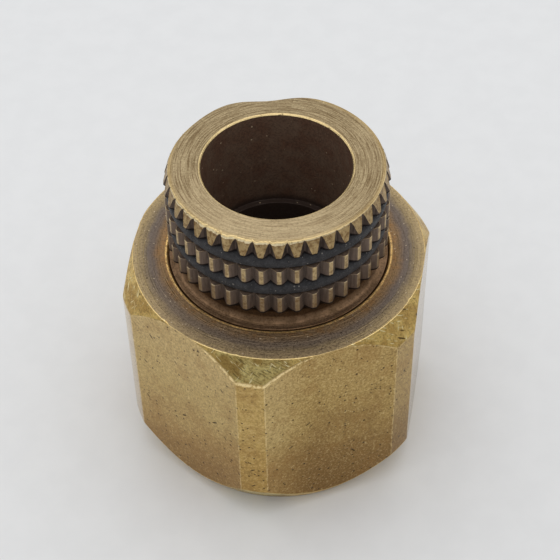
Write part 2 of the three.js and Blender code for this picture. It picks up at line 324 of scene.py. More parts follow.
class Shader:
    """A material's node tree, with short calls for the nodes used here."""

    def __init__(self, name, metallic=1.0, specular=0.5):
        self.material = bpy.data.materials.new(name)
        self.material.use_nodes = True
        self.tree = self.material.node_tree
        self.tree.nodes.clear()
        self.surface = self.tree.nodes.new("ShaderNodeBsdfPrincipled")
        self.surface.inputs["Metallic"].default_value = metallic
        self.surface.inputs["Specular IOR Level"].default_value = specular
        output = self.tree.nodes.new("ShaderNodeOutputMaterial")
        self.tree.links.new(self.surface.outputs[0], output.inputs[0])
        coordinates = self.tree.nodes.new("ShaderNodeTexCoord")
        self.place = self.scaled(coordinates.outputs["Object"], 1 / MM)
        split = self.tree.nodes.new("ShaderNodeSeparateXYZ")
        self.tree.links.new(self.place, split.inputs[0])
        self.x, self.y, self.z = split.outputs
        squares = self.math("ADD", self.math("MULTIPLY", self.x, self.x),
                            self.math("MULTIPLY", self.y, self.y))
        self.radius = self.math("SQRT", squares)
        self.angle = self.math("ARCTAN2", self.x, self.math("MULTIPLY", self.y, -1.0))

    def feed(self, socket, value):
        if isinstance(value, (int, float)):
            socket.default_value = value
        elif isinstance(value, tuple):
            socket.default_value = value if len(value) == len(socket.default_value) else (*value, 1)
        else:
            self.tree.links.new(value, socket)

    def math(self, operation, a, b=0.0, clamp=False):
        node = self.tree.nodes.new("ShaderNodeMath")
        node.operation = operation
        node.use_clamp = clamp
        self.feed(node.inputs[0], a)
        self.feed(node.inputs[1], b)
        return node.outputs[0]

    def scaled(self, vector, factor):
        node = self.tree.nodes.new("ShaderNodeVectorMath")
        node.operation = "SCALE"
        self.feed(node.inputs[0], vector)
        node.inputs["Scale"].default_value = factor
        return node.outputs[0]

    def vector(self, x, y, z):
        node = self.tree.nodes.new("ShaderNodeCombineXYZ")
        for socket, value in zip(node.inputs, (x, y, z)):
            self.feed(socket, value)
        return node.outputs[0]

    def stretched(self, scale, turn=(0, 0, 0)):
        node = self.tree.nodes.new("ShaderNodeMapping")
        self.feed(node.inputs["Vector"], self.place)
        node.inputs["Scale"].default_value = scale
        node.inputs["Rotation"].default_value = [math.radians(a) for a in turn]
        return node.outputs[0]

    def noise(self, vector, scale=1.0, detail=3.0, rough=0.55):
        node = self.tree.nodes.new("ShaderNodeTexNoise")
        self.feed(node.inputs["Vector"], vector)
        node.inputs["Scale"].default_value = scale
        node.inputs["Detail"].default_value = detail
        node.inputs["Roughness"].default_value = rough
        return node.outputs["Fac"]

    def cells(self, vector, scale, feature="F1"):
        node = self.tree.nodes.new("ShaderNodeTexVoronoi")
        node.feature = feature
        self.feed(node.inputs["Vector"], vector)
        node.inputs["Scale"].default_value = scale
        return node.outputs["Distance"], node.outputs["Color"]

    def remap(self, value, low, high, to_low=0.0, to_high=1.0):
        node = self.tree.nodes.new("ShaderNodeMapRange")
        node.interpolation_type = "SMOOTHSTEP"
        self.feed(node.inputs["Value"], value)
        for socket, number in zip(list(node.inputs)[1:5], (low, high, to_low, to_high)):
            socket.default_value = number
        return node.outputs["Result"]

    def mix(self, factor, a, b, blend="MIX"):
        node = self.tree.nodes.new("ShaderNodeMix")
        node.data_type = "RGBA"
        node.blend_type = blend
        self.feed(node.inputs[0], factor)
        self.feed(node.inputs[6], a)
        self.feed(node.inputs[7], b)
        return node.outputs[2]

    def ramp(self, value, stops):
        node = self.tree.nodes.new("ShaderNodeValToRGB")
        self.feed(node.inputs[0], value)
        elements = node.color_ramp.elements
        while len(elements) < len(stops):
            elements.new(1.0)
        for element, (position, colour) in zip(elements, stops):
            element.position = position
            element.color = (*colour, 1)
        return node.outputs[0]

    def carried(self, label):
        node = self.tree.nodes.new("ShaderNodeAttribute")
        node.attribute_name = label
        return node.outputs["Fac"]

    def at_grazing(self):
        """0 on surfaces seen face on, rising to 1 on those seen nearly edge on, for gloss only."""
        node = self.tree.nodes.new("ShaderNodeLayerWeight")
        node.inputs["Blend"].default_value = 0.5
        return self.remap(node.outputs["Facing"], 0.66, 0.85)

    def from_corner(self):
        """The angle to the middle of the nearest corner of the hexagon."""
        return self.math("PINGPONG", self.angle, SECTOR / 2)

    def unrolled(self, lean, across, along):
        """The outside laid flat, turned by lean degrees and stretched into streaks."""
        arc = self.math("MULTIPLY", self.angle, APOTHEM)
        c, d = math.cos(math.radians(lean)), math.sin(math.radians(lean))
        u = self.math("ADD", self.math("MULTIPLY", arc, c), self.math("MULTIPLY", self.z, d))
        v = self.math("SUBTRACT", self.math("MULTIPLY", self.z, c), self.math("MULTIPLY", arc, d))
        depth = self.math("MULTIPLY", self.radius, 0.3)
        return self.vector(self.math("MULTIPLY", u, along), self.math("MULTIPLY", v, across), depth)

    def pits(self, vector, scale, size, share):
        """Small round pits in some of the cells: 1 inside a pit."""
        distance, colour = self.cells(vector, scale)
        split = self.tree.nodes.new("ShaderNodeSeparateColor")
        self.tree.links.new(colour, split.inputs[0])
        chosen = self.math("LESS_THAN", split.outputs[0], share)
        radius = self.math("MULTIPLY", split.outputs[1], size)
        inside = self.math("SUBTRACT", radius, distance)
        return self.math("MULTIPLY", self.remap(inside, -0.02, 0.05), chosen)

    def bump(self, height, distance, strength=1.0):
        """distance is the height in millimetres of a full step of the pattern."""
        node = self.tree.nodes.new("ShaderNodeBump")
        node.inputs["Distance"].default_value = distance * MM
        node.inputs["Strength"].default_value = strength
        self.feed(node.inputs["Height"], height)
        self.tree.links.new(node.outputs[0], self.surface.inputs["Normal"])

    def paint(self, colour, roughness):
        self.feed(self.surface.inputs["Base Color"], colour)
        self.feed(self.surface.inputs["Roughness"], roughness)
        return self.material


def linear(red, green, blue):
    """A colour given as eight-bit display values, as the shader's linear numbers."""
    def one(value):
        value = value / 255
        return value / 12.92 if value <= 0.04045 else ((value + 0.055) / 1.055) ** 2.4
    return one(red), one(green), one(blue)


# ---- Materials ------------------------------------------------------------------------------

BRIGHT_EDGE = linear(250, 224, 166)
PIT_BROWN = linear(58, 40, 22)


def wear(s, low=0.3, high=0.5):
    """How worn the surface is: the wear that the mesh carries, broken up by noise. On the knurl's lands the
    mesh also carries painted highlights along their edges.
    """
    return s.math("MULTIPLY", s.carried("edge"), s.remap(s.noise(s.place, 2.2, 4, 0.7), low, high))


def flat_brass():
    """Old machined brass of the six flats: khaki above, browner below, pitted and scratched.

    It is glossier seen nearly edge on, as machined metal is.
    """
    s = Shader("flat_brass")
    drift = s.math("MULTIPLY", s.math("SUBTRACT", s.noise(s.place, 0.13, 3, 0.6), 0.5), 16.0)
    height = s.remap(s.math("ADD", s.z, drift), 0.0, SHOULDER_Z)
    colour = s.ramp(height, [
        (0.0, linear(167, 131, 78)),
        (0.3, linear(188, 155, 97)),
        (0.62, linear(204, 177, 117)),
        (1.0, linear(208, 181, 125)),
    ])
    strip = s.remap(s.from_corner(), STRIP_HALF - 0.004, STRIP_HALF, 1.0, 0.0)
    colour = s.mix(s.math("MULTIPLY", strip, 0.5), colour, linear(206, 170, 94))
    # Painted reflection: the corner strips either side of the front are painted a paler grey, the look of
    # the floor reflected in them, fixed to the bearing on the object.
    from_front = s.math("ABSOLUTE", s.angle)
    beside_front = s.math("MULTIPLY", s.remap(from_front, 1.3, 0.8), s.remap(from_front, 0.3, 0.8))
    reflection_painted_strips = s.math("MULTIPLY", strip, beside_front)
    colour = s.mix(s.math("MULTIPLY", reflection_painted_strips, 0.7), colour, linear(192, 176, 146))
    # Painted shade: the flats on the right, away from the light, are painted darker, and darker still low
    # down.
    shaded_right_side = s.remap(s.angle, 0.08, 0.4)
    colour = s.mix(s.math("MULTIPLY", shaded_right_side, 0.6), colour, linear(180, 148, 84))
    shaded_low_right = s.math("MULTIPLY", shaded_right_side, s.remap(height, 0.8, 0.15, 0.0, 0.68))
    colour = s.mix(shaded_low_right, colour, linear(132, 98, 56))
    fine = s.noise(s.place, 4.6, 4, 0.8)
    coarse = s.noise(s.place, 1.6, 4, 0.7)
    speckle = s.math("ADD", s.math("MULTIPLY", fine, 0.85), s.math("MULTIPLY", coarse, 0.15))
    # More dark speckle on the right flats, as painted shade.
    speckle_share_with_right_shade = s.math("ADD", 0.5, s.math("MULTIPLY", shaded_right_side, 0.12))
    dark_speckle = s.math("MULTIPLY", s.remap(speckle, 0.54, 0.38), speckle_share_with_right_shade)
    colour = s.mix(dark_speckle, colour, linear(116, 88, 50))
    colour = s.mix(s.remap(speckle, 0.53, 0.64, 0.0, 0.42), colour, linear(244, 224, 170))
    patches = s.noise(s.place, 0.45, 4, 0.65)
    colour = s.mix(s.remap(patches, 0.48, 0.66, 0.0, 0.3), colour, linear(158, 118, 64))
    fine_lines = s.remap(s.noise(s.unrolled(48, 10.0, 0.7), 1.0, 2), 0.62, 0.72)
    colour = s.mix(s.math("MULTIPLY", fine_lines, 0.22), colour, linear(116, 90, 52))
    gouges = s.math("MAXIMUM", s.pits(s.unrolled(38, 2.6, 0.7), 1.0, 0.26, 0.08),
                    s.pits(s.unrolled(-55, 2.8, 0.7), 1.0, 0.26, 0.07))
    pits = s.math("MAXIMUM", s.pits(s.place, 1.2, 0.17, 0.6), s.pits(s.place, 2.3, 0.28, 0.45))
    marks = s.math("MAXIMUM", gouges, pits)
    colour = s.mix(s.math("MULTIPLY", marks, 0.85), colour, PIT_BROWN)
    worn = wear(s, 0.4, 0.56)
    colour = s.mix(worn, colour, BRIGHT_EDGE)
    rough = s.math("SUBTRACT", s.remap(speckle, 0.3, 0.7, 0.36, 0.48), s.math("MULTIPLY", worn, 0.12))
    dull = s.math("SUBTRACT", 1.0, s.math("MULTIPLY", s.at_grazing(), 0.75))
    rough = s.math("MULTIPLY", rough, dull)
    dents = s.math("ADD", s.math("MULTIPLY", fine_lines, 0.3), marks)
    relief = s.math("SUBTRACT", s.math("MULTIPLY", speckle, 0.7), dents)
    s.bump(s.math("MULTIPLY", relief, dull), 0.035)
    return s.paint(colour, rough)


def chamfer_brass():
    """The turned chamfers: olive brass, with a greener and more scratched patch at the front."""
    s = Shader("chamfer_brass")
    clouds = s.noise(s.place, 0.6, 4, 0.6)
    colour = s.mix(s.remap(clouds, 0.35, 0.68), linear(232, 200, 122), linear(194, 158, 90))
    front = s.remap(s.math("ABSOLUTE", s.angle), 0.18, 0.3, 1.0, 0.0)
    green = s.mix(s.remap(clouds, 0.4, 0.62), linear(226, 208, 138), linear(168, 140, 80))
    colour = s.mix(s.math("MULTIPLY", front, 0.85), colour, green)
    fine = s.noise(s.place, 5.0, 3, 0.7)
    colour = s.mix(s.remap(fine, 0.54, 0.38, 0.0, 0.5), colour, linear(124, 98, 56))
    dark_lines = s.remap(s.noise(s.unrolled(-24, 7.0, 0.8), 1.0, 2), 0.58, 0.66)
    dark_share = s.math("MULTIPLY", dark_lines, s.math("MULTIPLY", front, 0.65))
    colour = s.mix(dark_share, colour, linear(92, 76, 44))
    light_lines = s.math("MAXIMUM", s.remap(s.noise(s.unrolled(-34, 6.0, 0.8), 1.0, 2), 0.63, 0.7),
                         s.remap(s.noise(s.unrolled(62, 6.0, 0.9), 1.0, 2), 0.66, 0.72))
    colour = s.mix(s.math("MULTIPLY", light_lines, 0.85), colour, linear(250, 238, 186))
    gouges = s.pits(s.unrolled(-38, 3.0, 0.5), 1.0, 0.34, 0.35)
    marks = s.math("MAXIMUM", gouges, s.pits(s.place, 1.2, 0.18, 0.5))
    colour = s.mix(s.math("MULTIPLY", marks, 0.8), colour, PIT_BROWN)
    colour = s.mix(wear(s), colour, BRIGHT_EDGE)
    s.bump(s.math("SUBTRACT", s.math("MULTIPLY", fine, 0.7), marks), 0.035)
    return s.paint(colour, s.remap(clouds, 0.3, 0.7, 0.36, 0.46))


def shoulder_patina():
    """The top of the body: a bright line and orange brown by the seam, purple grey, an olive rim."""
    s = Shader("shoulder_patina")
    wobble = s.math("MULTIPLY", s.math("SUBTRACT", s.noise(s.place, 0.5, 3), 0.5), 0.9)
    share = s.remap(s.math("ADD", s.radius, wobble), HOLE_RADIUS, SHOULDER_RADIUS)
    colour = s.ramp(share, [
        (0.0, linear(166, 132, 92)),
        (0.2, linear(148, 121, 91)),
        (0.42, linear(126, 112, 102)),
        (0.6, linear(126, 114, 104)),
        (0.82, linear(156, 138, 108)),
        (1.0, linear(188, 166, 126)),
    ])
    front = s.remap(s.math("ABSOLUTE", s.angle), 0.5, 1.3, 0.3, 0.0)
    colour = s.mix(front, colour, linear(186, 162, 132))
    mottled = s.remap(s.noise(s.place, 1.3, 4, 0.7), 0.48, 0.62, 0.0, 0.5)
    near_seam = s.math("MULTIPLY", s.remap(share, 0.42, 0.1), mottled)
    colour = s.mix(near_seam, colour, linear(166, 122, 74))
    turned = s.vector(s.math("MULTIPLY", s.radius, 9.0), s.math("MULTIPLY", s.angle, 1.6), 0.0)
    marks = s.remap(s.noise(turned, 1.0, 2), 0.52, 0.68)
    rim = s.remap(s.radius, 11.6, 13.2, 0.12, 0.5)
    colour = s.mix(s.math("MULTIPLY", marks, rim), colour, linear(196, 172, 118))
    grain = s.noise(s.place, 4.5, 4, 0.75)
    colour = s.mix(s.remap(grain, 0.56, 0.36, 0.0, 0.45), colour, linear(58, 44, 36))
    colour = s.mix(s.remap(grain, 0.6, 0.75, 0.0, 0.3), colour, linear(190, 160, 116))
    pits = s.pits(s.place, 1.4, 0.16, 0.4)
    colour = s.mix(s.math("MULTIPLY", pits, 0.7), colour, linear(44, 32, 24))
    sparks = s.pits(s.place, 3.2, 0.24, 0.45)
    colour = s.mix(s.math("MULTIPLY", sparks, 0.75), colour, linear(222, 204, 176))
    from_seam = s.math("ABSOLUTE", s.math("SUBTRACT", s.radius, HOLE_RADIUS + SEAM_BEVEL + 0.04))
    broken = s.remap(s.noise(s.place, 3.6, 3, 0.7), 0.42, 0.54, 0.25, 1.0)
    colour = s.mix(s.math("MULTIPLY", s.remap(from_seam, 0.2, 0.06), broken), colour, linear(255, 212, 138))
    colour = s.mix(wear(s, 0.25, 0.45), colour, BRIGHT_EDGE)
    s.bump(s.math("ADD", s.math("MULTIPLY", grain, 0.8), s.math("MULTIPLY", marks, 0.4)), 0.04)
    return s.paint(colour, s.remap(grain, 0.3, 0.7, 0.44, 0.58))


def turned_face():
    """The spigot's end face: light khaki brass with fine arcs and grooves left by the lathe tool."""
    s = Shader("turned_face")
    arcs = s.vector(s.math("MULTIPLY", s.radius, 8.0), s.math("MULTIPLY", s.angle, 2.4), 0.0)
    rings = s.noise(arcs, 1.0, 3, 0.7)
    colour = s.mix(s.remap(rings, 0.38, 0.66), linear(180, 161, 126), linear(130, 109, 78))
    fine_arcs = s.vector(s.math("MULTIPLY", s.radius, 5.0), s.math("MULTIPLY", s.angle, 0.9), 7.0)
    grooves = s.remap(s.noise(fine_arcs, 1.0, 3, 0.7), 0.58, 0.66)
    colour = s.mix(s.math("MULTIPLY", grooves, 0.45), colour, linear(104, 84, 52))
    front = s.remap(s.math("ABSOLUTE", s.angle), 0.3, 1.4, 0.3, 0.0)
    colour = s.mix(front, colour, linear(226, 204, 164))
    grain = s.noise(s.place, 4.5, 4, 0.75)
    colour = s.mix(s.remap(grain, 0.5, 0.36, 0.0, 0.35), colour, linear(98, 82, 52))
    colour = s.mix(s.remap(grain, 0.56, 0.68, 0.0, 0.3), colour, linear(226, 212, 168))
    rim = s.remap(s.radius, 9.1, 9.55)
    colour = s.mix(s.math("MULTIPLY", rim, 0.25), colour, linear(214, 180, 110))
    colour = s.mix(wear(s, 0.3, 0.45), colour, BRIGHT_EDGE)
    s.bump(s.math("ADD", rings, s.math("MULTIPLY", grain, 0.6)), 0.05)
    return s.paint(colour, s.remap(rings, 0.3, 0.7, 0.4, 0.52))


def knurl_brass():
    """Teeth with golden mottled lands and painted highlights on their edges, brown flanks darkened by dirt
    and painted shade, and painted black shade in the deepest gaps and under the teeth.
    """
    s = Shader("knurl_brass")
    upper = s.remap(s.z, MIDDLE_BAND[1], UPPER_BAND[0])
    middle = s.remap(s.z, LOWER_BAND[1], MIDDLE_BAND[0])
    land = s.mix(middle, linear(160, 140, 112), linear(186, 162, 120))
    land = s.mix(upper, land, linear(180, 154, 110))
    mottled = s.noise(s.place, 2.6, 4, 0.7)
    land = s.mix(s.remap(mottled, 0.44, 0.62, 0.0, 0.75), land, linear(122, 92, 58))
    land = s.mix(s.remap(mottled, 0.4, 0.3, 0.0, 0.5), land, linear(226, 196, 142))
    upright_lines = s.vector(s.math("MULTIPLY", s.angle, 60.0), s.math("MULTIPLY", s.z, 0.5), 0.0)
    streaks = s.noise(upright_lines, 1.0, 2)
    flank = s.mix(s.remap(streaks, 0.4, 0.62), linear(108, 93, 83), linear(84, 72, 65))
    flank = s.mix(upper, s.mix(0.22, flank, linear(168, 150, 136)), flank)
    # Dirt and painted shade: the carried value browns the flanks and paints black shade in the deepest
    # gaps, under the teeth and on the groove floors behind the rings.
    dirt_and_shade = s.carried("dirt_and_shade")
    colour = s.mix(s.remap(dirt_and_shade, 0.0, 0.6), land, flank)
    colour = s.mix(s.remap(dirt_and_shade, 0.7, 1.0), colour, linear(36, 31, 31))
    # Worn edges, and painted highlights along the lands' edges.
    colour = s.mix(wear(s, 0.32, 0.52), colour, linear(255, 236, 192))
    specks = s.pits(s.place, 1.7, 0.18, 0.3)
    colour = s.mix(s.math("MULTIPLY", specks, 0.5), colour, linear(150, 138, 126))
    s.bump(s.noise(s.place, 5.0, 4, 0.75), 0.05)
    return s.paint(colour, s.remap(dirt_and_shade, 0.0, 0.7, 0.36, 0.58))


def packed_dirt():
    """Dull brown dirt packed on the ledges beside the rings."""
    s = Shader("packed_dirt", metallic=0.0, specular=0.2)
    clouds = s.noise(s.place, 2.4, 4, 0.7)
    colour = s.mix(s.remap(clouds, 0.35, 0.65), linear(104, 86, 72), linear(74, 62, 55))
    s.bump(clouds, 0.03)
    return s.paint(colour, s.remap(clouds, 0.3, 0.7, 0.7, 0.85))


def brown_brass(name, tone, dark):
    """Tarnished brass that is out of reach of wear: neck, collar and stem."""
    s = Shader(name)
    clouds = s.noise(s.place, 0.8, 4, 0.65)
    colour = s.mix(s.remap(clouds, 0.35, 0.65), tone, dark)
    turned = s.vector(s.math("MULTIPLY", s.radius, 8.0), s.z, s.math("MULTIPLY", s.angle, 2.0))
    rings = s.noise(turned, 1.0, 2)
    colour = s.mix(s.remap(rings, 0.5, 0.7, 0.0, 0.3), colour, linear(168, 134, 94))
    grain = s.noise(s.place, 5.0, 3, 0.75)
    colour = s.mix(s.remap(grain, 0.55, 0.38, 0.0, 0.4), colour, linear(54, 38, 26))
    # Painted shade: the carried value darkens the neck under the teeth and the collar's side in the seam's
    # gap.
    colour = s.mix(s.remap(s.carried("dirt_and_shade"), 0.0, 1.0), colour, linear(38, 29, 24))
    colour = s.mix(wear(s, 0.4, 0.6), colour, linear(196, 160, 108))
    s.bump(s.math("ADD", grain, rings), 0.03)
    return s.paint(colour, s.remap(clouds, 0.3, 0.7, 0.46, 0.6))


def bore_oxide():
    """The inside of the bore: dark red brown, with a few bright specks."""
    s = Shader("bore_oxide", metallic=0.3)
    clouds = s.noise(s.place, 0.5, 4, 0.6)
    deeper = s.remap(s.z, BORE_STEP_Z + 0.1, BORE_STEP_Z + 1.0, 1.0, 0.0)
    colour = s.mix(s.remap(clouds, 0.35, 0.65), linear(132, 108, 90), linear(118, 88, 70))
    colour = s.mix(s.math("MULTIPLY", deeper, 0.8), colour, linear(42, 35, 32))
    fine = s.noise(s.place, 5.0, 3, 0.7)
    colour = s.mix(s.remap(fine, 0.56, 0.4, 0.0, 0.35), colour, linear(48, 34, 28))
    specks = s.pits(s.place, 1.7, 0.16, 0.6)
    colour = s.mix(s.math("MULTIPLY", specks, 0.8), colour, linear(236, 214, 180))
    colour = s.mix(wear(s, 0.2, 0.4), colour, BRIGHT_EDGE)
    s.bump(fine, 0.03)
    return s.paint(colour, s.remap(clouds, 0.3, 0.7, 0.42, 0.6))


def fresh_brass():
    """Brass cut by tools and kept from handling: thread, web and washer seats."""
    s = Shader("fresh_brass")
    clouds = s.noise(s.place, 0.5, 4, 0.6)
    colour = s.mix(s.remap(clouds, 0.35, 0.7), linear(200, 168, 100), linear(150, 116, 66))
    around = s.math("MULTIPLY", s.angle, 2.0)
    chatter = s.noise(s.vector(s.math("MULTIPLY", s.z, 12.0), around, s.radius), 1.0, 2)
    colour = s.mix(s.remap(chatter, 0.5, 0.8, 0.0, 0.3), colour, linear(110, 84, 48))
    s.bump(chatter, 0.015)
    return s.paint(colour, s.remap(chatter, 0.3, 0.7, 0.28, 0.4))


def rubber(name, tone, pale):
    """Matte black rubber with dust and a faint mould grain."""
    s = Shader(name, metallic=0.0, specular=0.4)
    clouds = s.noise(s.place, 1.2, 4, 0.6)
    colour = s.mix(s.remap(clouds, 0.35, 0.7), tone, pale)
    dust = s.pits(s.place, 2.7, 0.28, 0.55)
    colour = s.mix(s.math("MULTIPLY", dust, 0.75), colour, linear(150, 144, 136))
    grain = s.noise(s.place, 5.0, 4, 0.8)
    colour = s.mix(s.remap(grain, 0.54, 0.66, 0.0, 0.4), colour, linear(92, 91, 96))
    colour = s.mix(s.remap(grain, 0.48, 0.36, 0.0, 0.6), colour, linear(22, 22, 25))
    s.bump(s.math("ADD", grain, dust), 0.07)
    return s.paint(colour, s.remap(clouds, 0.3, 0.7, 0.5, 0.66))


def white_plastic():
    """Low-friction plastic washers, lightly stained."""
    s = Shader("washer_plastic", metallic=0.0)
    stain = s.noise(s.place, 1.5, 4, 0.6)
    colour = s.mix(s.remap(stain, 0.45, 0.75), linear(228, 225, 216), linear(196, 186, 160))
    s.bump(s.noise(s.place, 8.0, 3), 0.01)
    return s.paint(colour, s.remap(stain, 0.3, 0.7, 0.35, 0.5))


def spring_wire():
    """Drawn steel wire with fine lines along it."""
    s = Shader("spring_wire")
    across = s.vector(s.math("MULTIPLY", s.radius, 14.0), s.angle, s.math("MULTIPLY", s.z, 14.0))
    lines = s.noise(across, 1.0, 2)
    colour = s.mix(s.remap(lines, 0.4, 0.7), linear(176, 178, 180), linear(128, 129, 131))
    s.bump(lines, 0.008)
    return s.paint(colour, s.remap(lines, 0.3, 0.7, 0.25, 0.38))


# ---- Hexagonal body --------------------------------------------------------------------------

STRIP_HALF = SECTOR / 2 - math.acos(APOTHEM / CORNER_RADIUS)     # half of a corner strip's angle
EDGE_ROUNDING = 0.07


def sector_angles(count):
    """Column angles from one corner's middle to the next, closest at the two upright edges."""
    samples = np.linspace(0, SECTOR, 2000, endpoint=False)
    density = 1 + 6 * np.exp(-(edge_distance(samples) / 0.15) ** 2)
    share = np.concatenate([[0], np.cumsum(density)])[:-1] / density.sum()
    return np.interp(np.arange(count) / count, share, samples)


def edge_distance(theta):
    """How far a column is from the nearest upright edge, in millimetres round the corner circle."""
    from_corner = np.abs((theta + SECTOR / 2) % SECTOR - SECTOR / 2)
    return np.abs(from_corner - STRIP_HALF) * CORNER_RADIUS


def side_radius(theta):
    """Radius of the body's upright sides: six flats, with the corners turned to a cylinder."""
    from_middle = theta % SECTOR - SECTOR / 2
    return smooth_min(APOTHEM / np.cos(from_middle), CORNER_RADIUS, EDGE_ROUNDING)


def thread_radius(theta, z):
    """The female thread at a point of its wall, with the entry chamfer and the run-out."""
    phase = z / THREAD_PITCH - theta / TURN
    wave = 1 - 4 * np.abs(phase - np.floor(phase) - 0.5)
    rounded = np.sin(math.pi / 2 * np.clip(1.2 * wave, -1, 1))
    wall = (THREAD_MAJOR + THREAD_MINOR) / 2 + (THREAD_MAJOR - THREAD_MINOR) / 2 * rounded
    entry = THREAD_ENTRY - z
    run_out = THREAD_MINOR + np.maximum(z - THREAD_LENGTH, 0)
    return np.minimum(np.maximum(np.maximum(wall, entry), run_out), RELIEF_RADIUS + 0.4)


FLAT, CHAMFER, SHOULDER, INSIDE = range(4)


def hex_body():
    angles = np.concatenate([sector_angles(FINE_BODY // 6) + k * SECTOR for k in range(6)])
    side = side_radius(angles)
    small_nicks = np.maximum(round_noise(angles, 190, 3) - 0.5, 0) * 0.16
    dents = np.maximum(round_noise(angles, 47, 4) - 0.75, 0) * 0.6
    nicks = small_nicks + dents
    shoulder_edge = np.minimum(SHOULDER_RADIUS, side - 0.012) - nicks
    top_z = SHOULDER_Z - (side - shoulder_edge - nicks) * TOP_CHAMFER_SLOPE
    top_z = np.minimum(top_z, SHOULDER_Z - 0.03) + 0.03 * round_noise(angles, 150, 5)
    top_z = np.minimum(top_z, SHOULDER_Z - 0.03)
    foot_z = (side - FOOT_RADIUS) * BOTTOM_CHAMFER_SLOPE
    upright = 0.6 * np.exp(-(edge_distance(angles) / 0.045) ** 2)
    near_front = hill(angles, 0.0, 0.5)
    rows = Rows()
    sweep(rows, angles, [
        Corner(HOLE_RADIUS, SHOULDER_Z - 0.9, zone=INSIDE, cuts=2),
        Corner(HOLE_RADIUS, SHOULDER_Z - SEAM_BEVEL, 0.04, cuts=3, dirt_and_shade=0.0, zone=SHOULDER),
        Corner(HOLE_RADIUS + SEAM_BEVEL, SHOULDER_Z, 0.05, 1.0, cuts=14, zone=SHOULDER),
        Corner(shoulder_edge, SHOULDER_Z, 0.06 + nicks * 0.4, 1.0, cuts=8, zone=CHAMFER),
        Corner(side, top_z, 0.09 + 0.16 * near_front, 0.5 + 1.3 * near_front, cuts=34,
               worn=upright, zone=FLAT),
        Corner(side, foot_z, 0.08, 0.5, cuts=6, zone=CHAMFER),
        Corner(FOOT_RADIUS, 0.0, 0.12, 0.4, cuts=2, zone=INSIDE),
        Corner(FOOT_RADIUS - 0.6, 0.0, cuts=1, zone=INSIDE),
    ])
    inside = angles[::FINE_BODY // COARSE_BODY]
    sweep(rows, inside, [
        Corner(THREAD_ENTRY + 0.5, 0.0, cuts=2, zone=INSIDE),
        Corner(THREAD_ENTRY, 0.0, 0.03, zone=INSIDE, cuts=1),
    ])
    for z in np.arange(0.1, THREAD_LENGTH + RELIEF_RADIUS - THREAD_MINOR, 0.12):
        wall = np.minimum(thread_radius(inside, z), RELIEF_RADIUS)
        rows.add(inside, np.stack([wall, np.full_like(wall, z)], 1), 0, 0, INSIDE)
    sweep(rows, inside, [
        Corner(RELIEF_RADIUS, THREAD_LENGTH + 1.5, cuts=3, zone=INSIDE),
        Corner(RELIEF_RADIUS, WEB_BOTTOM, 0.1, zone=INSIDE, cuts=3),
        Corner(WEB_HOLE_RADIUS, WEB_BOTTOM, 0.12, 0.4, zone=INSIDE, cuts=6),
        Corner(WEB_HOLE_RADIUS, WEB_TOP, 0.12, 0.4, zone=INSIDE, cuts=4),
        Corner(HOLE_RADIUS, WEB_TOP, 0.1, zone=INSIDE, cuts=3),
        Corner(HOLE_RADIUS, SHOULDER_Z - 1.2, zone=INSIDE),
    ])
    materials = [flat_brass(), chamfer_brass(), shoulder_patina(), fresh_brass()]
    return make_piece("hex_body_machined", rows, "body", "hex_body", materials)


# ---- Spigot ----------------------------------------------------------------------------------

TOOTH_PLACES = (0.0, 0.08, 0.15, 0.22, 0.30, 0.40, 0.52, 0.66)   # from a land's middle, in mm
HALF_PITCH = math.pi * TIP_RADIUS / TEETH
UNDERCUT = 0.13      # height of the painted black shadow line under the teeth
REAR_DENTS = (       # depth, bearing and width of the two dents in the rear of the rim
    (0.95, math.radians(195), math.radians(18)),
    (0.29, math.radians(240), math.radians(24)),
)


END_FACE, KNURL, COLLAR, BORE, LEDGE = range(5)


def tooth_angles():
    """Column angles for every tooth, evenly mirrored about the middle of its land."""
    places = [-HALF_PITCH] + [-p for p in TOOTH_PLACES[:0:-1]] + list(TOOTH_PLACES)
    offsets = np.array(places) / TIP_RADIUS
    centres = FIRST_TOOTH + np.arange(TEETH) * TURN / TEETH
    return (centres[:, None] + offsets[None, :]).ravel()


def down_the_flank(theta):
    """0 on a tooth's land, rising to 1 in the middle of the gap, and the tooth's number."""
    turn = (theta - FIRST_TOOTH) / TURN * TEETH
    number = np.floor(turn + 0.5)
    across = np.abs(turn - number) * 2 * HALF_PITCH
    return np.clip((across - LAND_HALF_WIDTH) / (HALF_PITCH - LAND_HALF_WIDTH), 0, 1), number


def tooth_radius(theta, seed):
    """Outside of the knurl: flat lands, and flanks that fall ever faster to a sharp gap."""
    fall, number = down_the_flank(theta)
    worn = 0.03 * lattice(number % TEETH, 0 * number, seed)
    return TIP_RADIUS - worn - (TIP_RADIUS - ROOT_RADIUS) * fall ** 1.25


